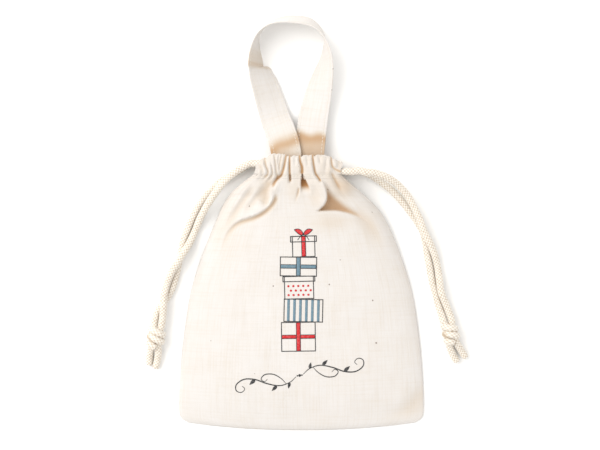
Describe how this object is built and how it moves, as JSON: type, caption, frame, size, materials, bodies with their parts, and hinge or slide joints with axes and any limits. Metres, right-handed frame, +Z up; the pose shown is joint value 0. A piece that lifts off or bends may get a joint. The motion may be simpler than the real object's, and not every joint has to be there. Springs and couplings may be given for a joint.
{
  "type": "drawstring gift pouch",
  "caption": "Flat-lying cotton gift pouch with a cased neck drawn shut by a drawstring from each side, knotted cord tails and a sewn carry strap.",
  "frame": {"origin": "middle of the back panel's outer face, on the surface that the pouch lies on", "axes": "+Y runs from the foot to the strap, +X to the right seen from the front, +Z up out of the front panel"},
  "size_m": [0.2702, 0.3467, 0.0266],
  "materials": {
    "cotton": "plain-woven natural cotton, unbleached, with slubs and seed flecks",
    "cord": "soft braided cotton cord, slightly fuzzy",
    "thread": "cotton sewing thread",
    "ink": "water-based ink printed on the cloth"
  },
  "bodies": {
    "pouch": {"front_panel": "cotton", "back_panel": "cotton", "front_casing": "cotton", "back_casing": "cotton", "left_side_seam": "thread", "right_side_seam": "thread", "bottom_seam": "thread", "front_casing_stitch": "thread", "back_casing_stitch": "thread", "strap_front_end": "cotton", "strap_back_end": "cotton", "strap_front_tack": "thread", "strap_back_tack": "thread", "printed_gift_stack": "ink", "printed_flourish": "ink", "left_drawstring_loop": "cord", "right_drawstring_loop": "cord"},
    "strap": {"carry_strap": "cotton", "strap_edge_stitch": "thread"},
    "left_drawstring": {"left_front_cord_root": "cord", "left_back_cord_root": "cord"},
    "left_tails": {"left_front_cord_tail": "cord", "left_back_cord_tail": "cord", "left_knot": "cord", "left_front_cord_end": "cord", "left_back_cord_end": "cord"},
    "right_drawstring": {"right_front_cord_root": "cord", "right_back_cord_root": "cord"},
    "right_tails": {"right_front_cord_tail": "cord", "right_back_cord_tail": "cord", "right_knot": "cord", "right_front_cord_end": "cord", "right_back_cord_end": "cord"}
  },
  "joints": [
    {"name": "strap_lift", "type": "hinge", "parent": "pouch", "child": "strap", "pos_m": [-0.003, 0.1196, 0.0125], "axis": [1, 0, 0], "range_deg": [0, 90]},
    {"name": "left_pull", "type": "slide", "parent": "pouch", "child": "left_drawstring", "axis": [-1, 0, 0], "range_m": [0, 0.012]},
    {"name": "left_swing", "type": "hinge", "parent": "left_drawstring", "child": "left_tails", "pos_m": [-0.051, 0.1058, 0.0128], "axis": [0, 0, 1], "range_deg": [-75, 0]},
    {"name": "right_pull", "type": "slide", "parent": "pouch", "child": "right_drawstring", "axis": [1, 0, 0], "range_m": [0, 0.012]},
    {"name": "right_swing", "type": "hinge", "parent": "right_drawstring", "child": "right_tails", "pos_m": [0.051, 0.1035, 0.0128], "axis": [0, 0, 1], "range_deg": [0, 75]}
  ]
}
